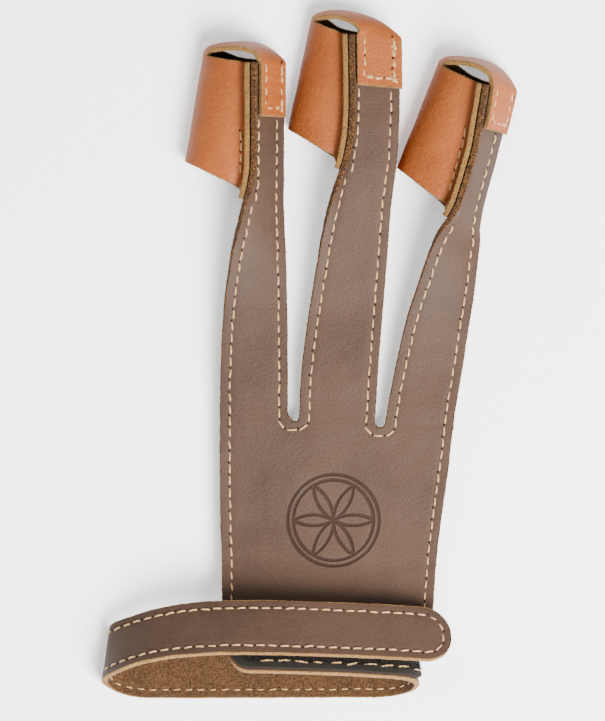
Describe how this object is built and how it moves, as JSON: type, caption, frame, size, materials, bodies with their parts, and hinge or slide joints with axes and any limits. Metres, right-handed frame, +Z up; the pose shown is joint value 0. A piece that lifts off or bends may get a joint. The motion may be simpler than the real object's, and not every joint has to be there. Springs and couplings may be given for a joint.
{
  "type": "archery glove",
  "caption": "Leather archery glove of hand panel, sewn finger stalls and a wrist strap with hook and loop tape, lying back of the hand up.",
  "frame": {"origin": "middle of the glove's outline, on the surface that it lies on", "axes": "+Y to the fingertips, +X to the ring finger's side, +Z up from the surface through the back of the hand"},
  "size_m": [0.1246, 0.2064, 0.0254],
  "materials": {
    "brown_leather": "smooth grain, satin",
    "tan_leather": "smooth grain, satin",
    "hook_tape": "woven tape with hooks",
    "loop_tape": "napped loop tape"
  },
  "bodies": {
    "root": {"hand_panel": "brown_leather", "wrist_strap": "brown_leather", "hook_patch": "hook_tape", "loop_patch": "loop_tape", "index_stall": "tan_leather", "middle_stall": "tan_leather", "ring_stall": "tan_leather"}
  },
  "joints": []
}
